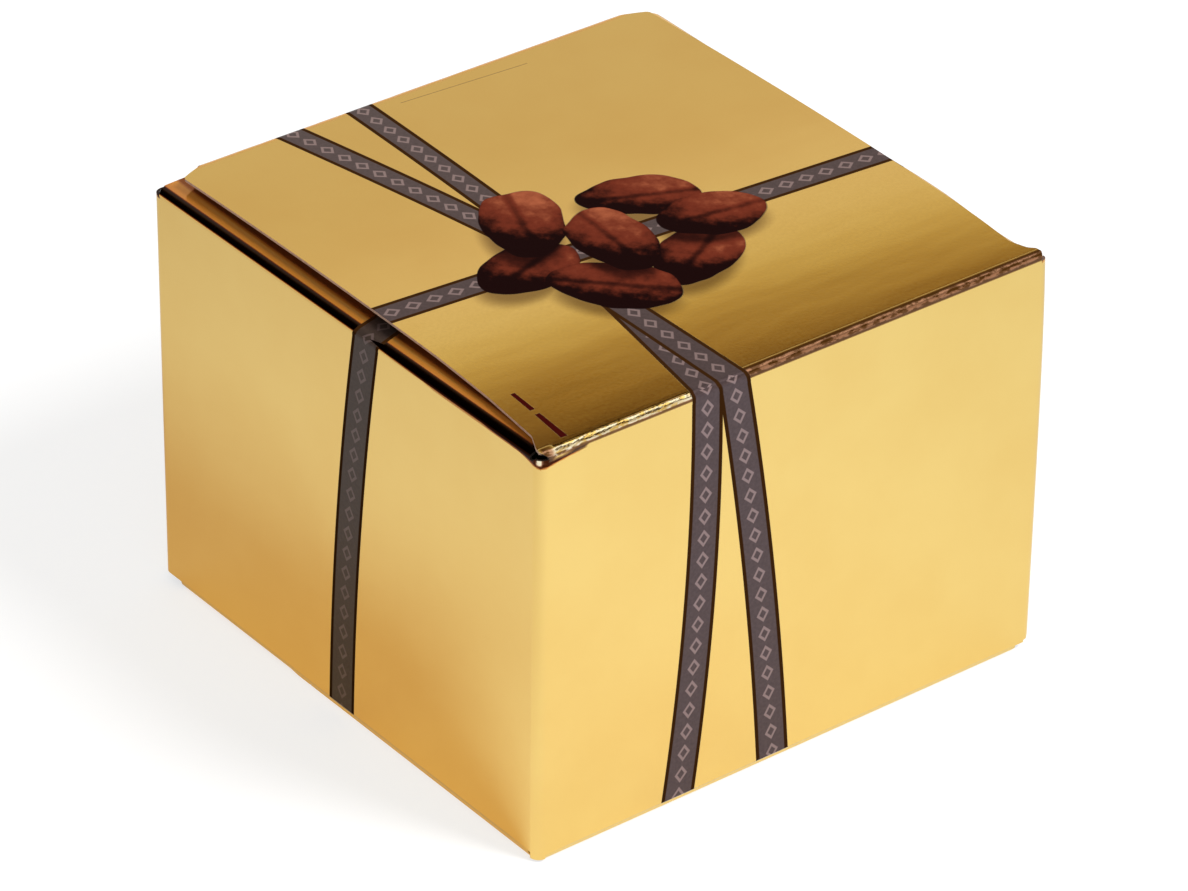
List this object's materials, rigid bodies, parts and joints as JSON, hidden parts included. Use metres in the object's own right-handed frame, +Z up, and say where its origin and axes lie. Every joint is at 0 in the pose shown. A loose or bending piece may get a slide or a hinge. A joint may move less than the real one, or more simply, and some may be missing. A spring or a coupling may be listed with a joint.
{
  "type": "chocolate box",
  "caption": "Square tuck-top gift carton in gold metallised board with ribbon print, self-locking bottom and a sealed inner bag of truffles.",
  "frame": {"origin": "middle of the base, on the surface that the box stands on", "axes": "+Z up; -Y is the front panel, whose top edge carries the lid; +X to the right of the front panel"},
  "size_m": [0.12, 0.12, 0.0903],
  "materials": {
    "gold_board": "satin gold metallised laminate on 0.5 mm folding boxboard, white inside",
    "bag_film": "clear crinkled film",
    "cocoa_truffle": "matt cocoa powder"
  },
  "bodies": {
    "carton": {"front_panel": "gold_board", "right_panel": "gold_board", "rear_panel": "gold_board", "left_panel": "gold_board", "glue_flap": "gold_board", "bottom_front_flap": "gold_board", "bottom_rear_flap": "gold_board", "bottom_left_flap": "gold_board", "bottom_right_flap": "gold_board", "left_glue_web": "gold_board", "right_glue_web": "gold_board", "bag_body": "bag_film", "bag_top_film": "bag_film", "bag_seal": "bag_film", "truffles_lower_layer": "cocoa_truffle", "truffles_upper_layer": "cocoa_truffle"},
    "lid": {"lid_panel": "gold_board"},
    "tuck": {"tuck_flap": "gold_board"},
    "left_dust": {"left_dust_flap": "gold_board"},
    "right_dust": {"right_dust_flap": "gold_board"}
  },
  "joints": [
    {"name": "lid_hinge", "type": "hinge", "parent": "carton", "child": "lid", "pos_m": [0, -0.0587, 0.087], "axis": [1, 0, 0], "range_deg": [0, 145]},
    {"name": "tuck_hinge", "type": "hinge", "parent": "lid", "child": "tuck", "pos_m": [0, 0.0576, 0.0886], "axis": [1, 0, 0], "range_deg": [0, 75]},
    {"name": "left_dust_hinge", "type": "hinge", "parent": "carton", "child": "left_dust", "pos_m": [-0.059, 0, 0.0865], "axis": [0, -1, 0], "range_deg": [0, 90]},
    {"name": "right_dust_hinge", "type": "hinge", "parent": "carton", "child": "right_dust", "pos_m": [0.059, 0, 0.0865], "axis": [0, 1, 0], "range_deg": [0, 90]}
  ],
  "couplings": [
    {"joint": "tuck_hinge", "follows": "lid_hinge", "ratio": 0.5},
    {"joint": "left_dust_hinge", "follows": "lid_hinge", "ratio": 0.6},
    {"joint": "right_dust_hinge", "follows": "lid_hinge", "ratio": 0.6}
  ]
}
